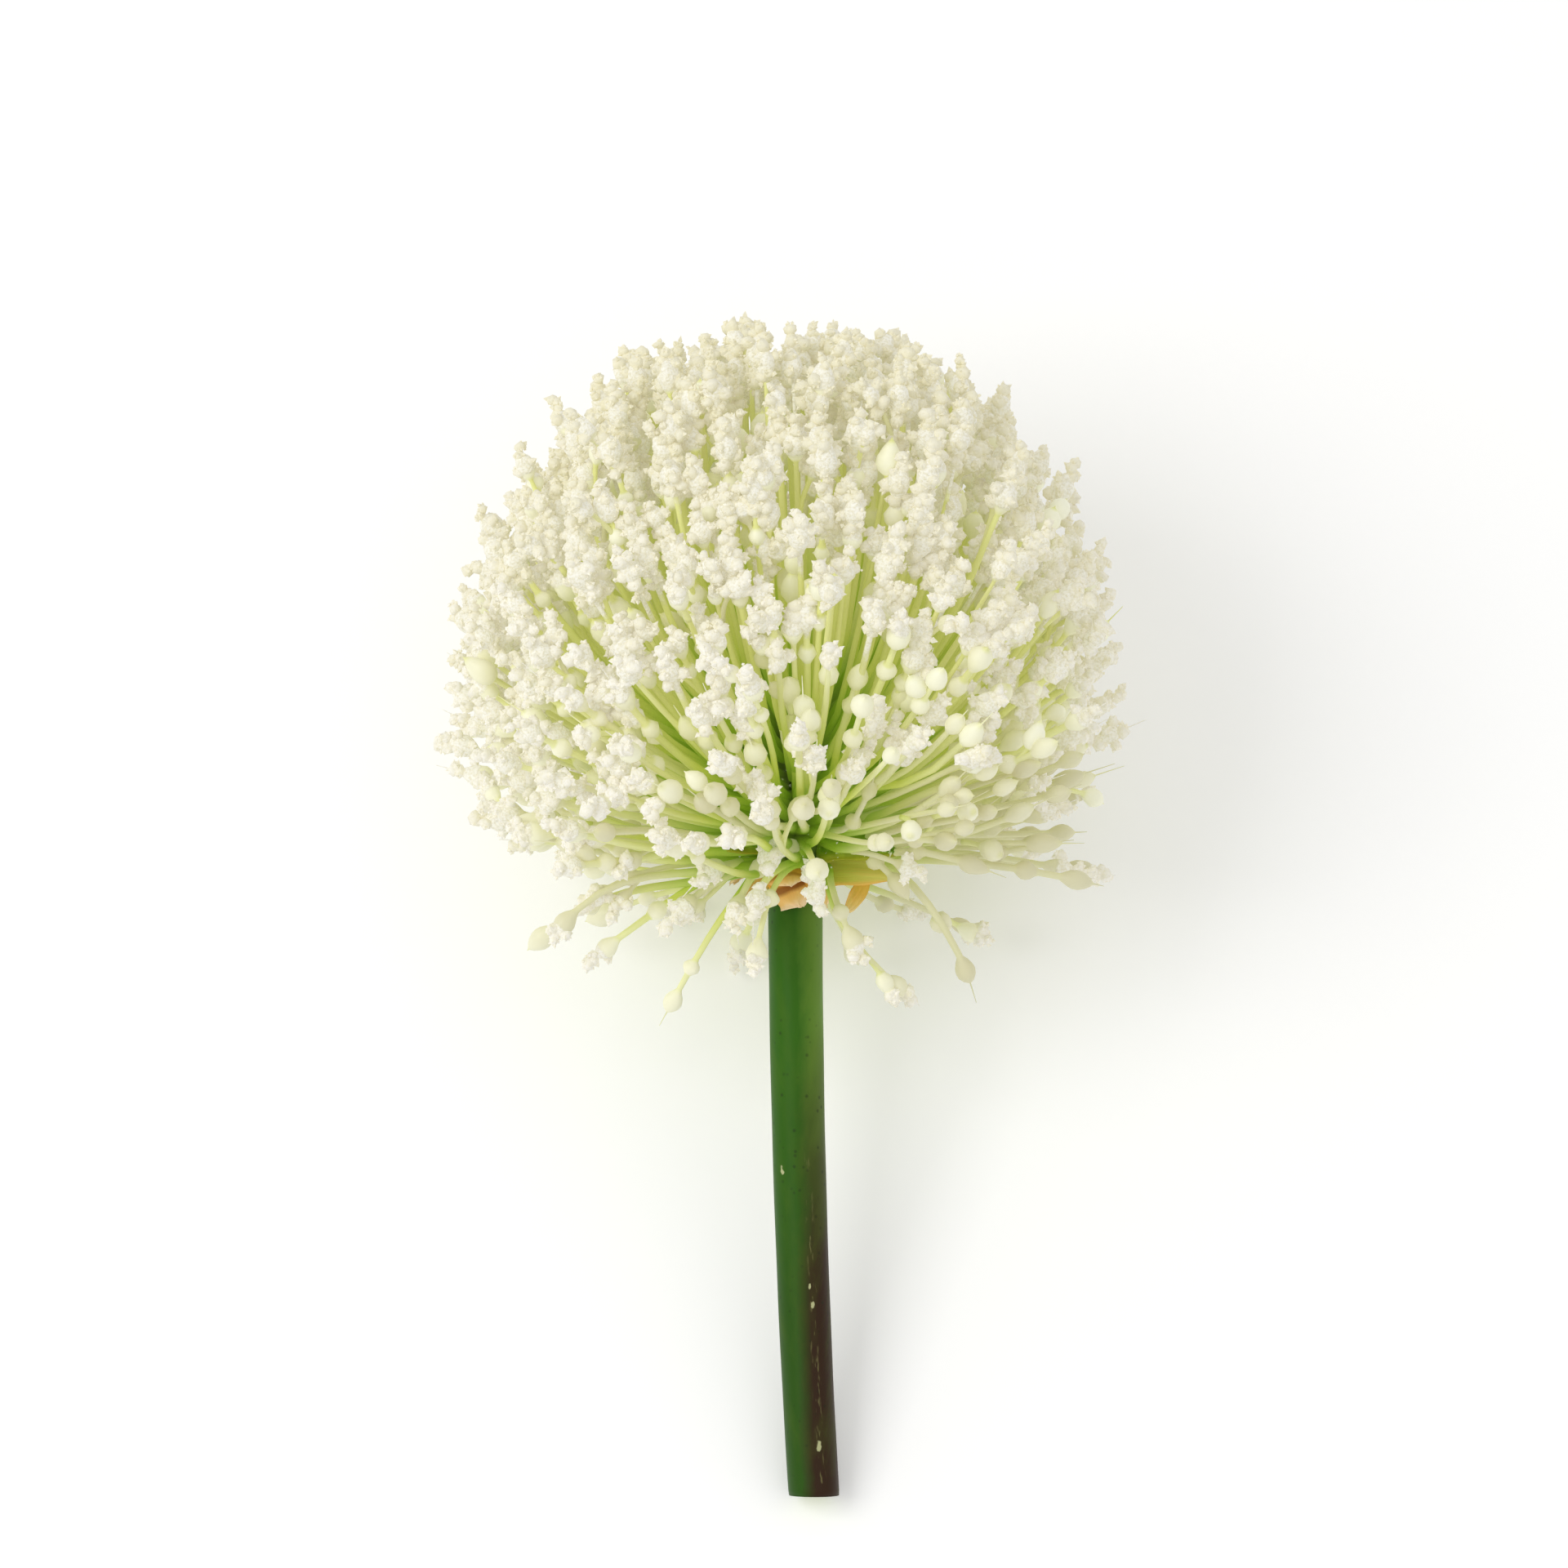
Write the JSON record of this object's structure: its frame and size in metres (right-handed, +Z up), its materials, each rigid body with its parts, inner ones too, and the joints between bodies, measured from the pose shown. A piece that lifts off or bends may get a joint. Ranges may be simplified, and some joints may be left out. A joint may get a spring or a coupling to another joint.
{
  "type": "allium flower head",
  "caption": "Round white allium flower head with a cut length of green stem, lying on its side, its pedicels radiating from the stem's swollen top.",
  "frame": {"origin": "on the surface that the flower lies on, under the middle of its box", "axes": "+Y from the cut end of the stem towards the ball of florets, +X to the right in the picture, +Z up from the surface; the side that faces the picture's viewer faces up and a little towards the cut end"},
  "size_m": [0.1074, 0.1804, 0.1032],
  "materials": {
    "stem": "satin green plant stem, purplish brown towards the cut",
    "receptacle": "dark green plant tissue",
    "bract": "dry papery tan sheath",
    "floret": "waxy cream buds on green pedicels",
    "floret_tip": "crumbly matt white"
  },
  "bodies": {
    "root": {"stem": "stem", "receptacle": "receptacle", "spathe_bract_front": "bract", "spathe_bract_right": "bract", "spathe_bract_back": "bract", "floret_spray_01": "floret", "floret_spray_02": "floret", "floret_spray_03": "floret", "floret_spray_04": "floret", "floret_spray_05": "floret", "floret_spray_06": "floret", "floret_spray_07": "floret", "floret_spray_08": "floret", "floret_spray_09": "floret", "floret_spray_10": "floret", "floret_spray_11": "floret", "floret_spray_12": "floret", "floret_spray_13": "floret", "floret_spray_14": "floret", "floret_spray_15": "floret", "floret_spray_16": "floret", "floret_spray_17": "floret", "floret_spray_18": "floret", "floret_spray_19": "floret", "floret_spray_20": "floret", "floret_spray_21": "floret", "floret_spray_22": "floret", "floret_spray_23": "floret", "floret_spray_24": "floret", "floret_spray_25": "floret", "floret_spray_26": "floret", "floret_spray_27": "floret", "floret_spray_28": "floret", "floret_spray_29": "floret", "floret_spray_30": "floret", "floret_spray_31": "floret", "floret_spray_32": "floret", "floret_spray_33": "floret", "floret_spray_34": "floret", "floret_spray_35": "floret", "floret_spray_36": "floret", "floret_spray_37": "floret", "floret_spray_38": "floret", "floret_spray_39": "floret", "floret_spray_40": "floret", "drooping_spray_01": "floret", "drooping_spray_02": "floret", "drooping_spray_03": "floret", "drooping_spray_04": "floret", "drooping_spray_05": "floret", "drooping_spray_06": "floret", "drooping_spray_07": "floret"}
  },
  "joints": []
}
